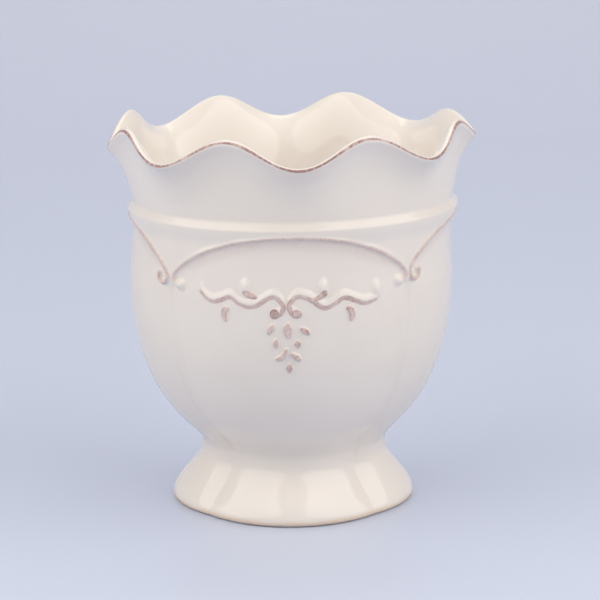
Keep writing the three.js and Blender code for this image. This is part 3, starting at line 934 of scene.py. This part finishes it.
# The stage in metres: the paper sweep's front, a line across its floor, its bend, top and half width, and
# where the paper is painted paler, which stands in for the brighter light on the backdrop
SWEEP_FRONT = -3.0
SWEEP_FLOOR_LINE = -1.0
SWEEP_BEND_START = 0.9
SWEEP_BEND_RADIUS = 1.2
SWEEP_BEND_STEPS = 40
SWEEP_TOP = 3.5
SWEEP_HALF = 4.0
SWEEP_PAINTED_LIGHT = (0.3, 1.7)

# Lamps: round softboxes of one tint, the two keys alike in size and target
LAMP_TINT = (1.0, 0.967, 0.92)
KEY_SIZE = (1.75, 1.17)
KEY_TARGET = (0.0, 0.0, 0.05)
# Light from the front and from all other sides, and the range of directions between them
FRONT_LIGHT = (0.37, 0.359, 0.342)
ROUND_LIGHT = (0.57, 0.553, 0.528)
FRONT_TO_SIDE = (-1.0, 0.0)

# The viewpoint: its place in metres, the turn to its left, how far it looks down, and its roll
VIEW_PLACE = (0.0118, -0.91418, 0.28421)
VIEW_PAN = np.radians(0.525)
VIEW_TILT = np.radians(12.703)
VIEW_ROLL = np.radians(-0.553)
LENS = 143.58
SENSOR = 36.0


def sweep_finish():
    """Pale blue paper with a soft sheen and a faint grain, painted paler and greyer towards the back as
    painted light.
    """
    material, tree, shader, place = new_material("sweep_paper")
    split = tree.nodes.new("ShaderNodeSeparateXYZ")
    tree.links.new(place, split.inputs[0])
    # Painted light: the paper turns paler towards the back, standing in for the light that falls there
    back = ranged(tree, split.outputs["Y"], SWEEP_PAINTED_LIGHT, WHOLE)
    grain = noise(tree, place, *PAPER_GRAIN)
    tint = mixed(tree, back, mixed(tree, grain, *PAPER_NEAR), mixed(tree, grain, *PAPER_FAR_PAINTED_LIGHT))
    tree.links.new(tint, shader.inputs["Base Color"])
    shader.inputs["Roughness"].default_value = PAPER_ROUGHNESS
    shader.inputs["Specular IOR Level"].default_value = PAPER_SPECULAR
    return material


def sweep():
    """Floor and backdrop in one sheet: level, then a quarter turn, then upright."""
    turn = np.linspace(0.0, 0.5 * np.pi, SWEEP_BEND_STEPS)
    bend = SWEEP_BEND_RADIUS * np.stack([np.sin(turn), 1.0 - np.cos(turn)], axis=1) + (SWEEP_BEND_START, 0.0)
    back = SWEEP_BEND_START + SWEEP_BEND_RADIUS
    line = np.vstack([[(SWEEP_FRONT, 0.0), (SWEEP_FLOOR_LINE, 0.0)], bend, [(back, SWEEP_TOP)]])
    x, y = np.meshgrid((-SWEEP_HALF, 0.0, SWEEP_HALF), line[:, 0])
    z = np.repeat(line[:, 1:], x.shape[1], axis=1)
    mesh = grid_mesh("sweep", np.stack([x, y, z], axis=-1))
    mesh.materials.append(sweep_finish())
    put_in_scene("sweep", mesh)


def softbox(name, place, target, size, power):
    """A flat round lamp at a place, facing a target."""
    lamp = bpy.data.lights.new(name, "AREA")
    lamp.shape = "ELLIPSE"
    lamp.size, lamp.size_y = size
    lamp.energy = power
    lamp.color = LAMP_TINT
    back = np.array(place, dtype=float) - np.array(target, dtype=float)
    back /= np.linalg.norm(back)
    side = np.cross((0.0, 0.0, 1.0), back)
    side /= np.linalg.norm(side)
    over = np.cross(back, side)
    rows = [[side[i], over[i], back[i], place[i]] for i in range(3)]
    put_in_scene(name, lamp).matrix_world = Matrix(rows + [[0, 0, 0, 1]])


def studio_light():
    """Light from all round, dimmer from the front."""
    world = bpy.data.worlds.new("studio")
    world.use_nodes = True
    tree = world.node_tree
    split = tree.nodes.new("ShaderNodeSeparateXYZ")
    tree.links.new(tree.nodes.new("ShaderNodeTexCoord").outputs["Generated"], split.inputs[0])
    beside = ranged(tree, split.outputs["Y"], FRONT_TO_SIDE, WHOLE)
    tree.links.new(mixed(tree, beside, FRONT_LIGHT, ROUND_LIGHT), tree.nodes["Background"].inputs["Color"])
    bpy.context.scene.world = world


def camera():
    """The viewpoint: a little under a metre off, looking down through a long lens."""
    lens = bpy.data.cameras.new("viewpoint")
    lens.sensor_width = SENSOR
    lens.lens = LENS
    pan = Matrix.Rotation(VIEW_PAN, 4, "Z")
    tilt = Matrix.Rotation(0.5 * np.pi - VIEW_TILT, 4, "X")
    roll = Matrix.Rotation(VIEW_ROLL, 4, "Z")
    holder = put_in_scene("viewpoint", lens)
    holder.matrix_world = Matrix.Translation(VIEW_PLACE) @ pan @ tilt @ roll
    bpy.context.scene.camera = holder


pieces = [bowl_piece(), foot_piece(), collar_piece()]
pieces += [valance_piece("front", 0.0, ("front_left", "front_right")),
           valance_piece("right", 0.5 * np.pi, ("front_right", "back_right")),
           valance_piece("back", np.pi, ("back_right", "back_left")),
           valance_piece("left", -0.5 * np.pi, ("back_left", "front_left"))]
pieces += [spray_piece("front", 0.0), spray_piece("back", np.pi)]
finish = glaze()
for piece in pieces:
    piece.data.materials.append(finish)

sweep()
softbox("key_left", (-0.83, -0.48, 0.77), KEY_TARGET, KEY_SIZE, 7.6)
softbox("key_right", (0.85, -0.47, 0.77), KEY_TARGET, KEY_SIZE, 8.3)
softbox("backdrop_lamp", (0.0, 0.75, 2.2), (0.0, 1.6, 0.3), (2.4, 1.0), 10.4)

studio_light()
bpy.context.scene.view_settings.view_transform = "Standard"
camera()
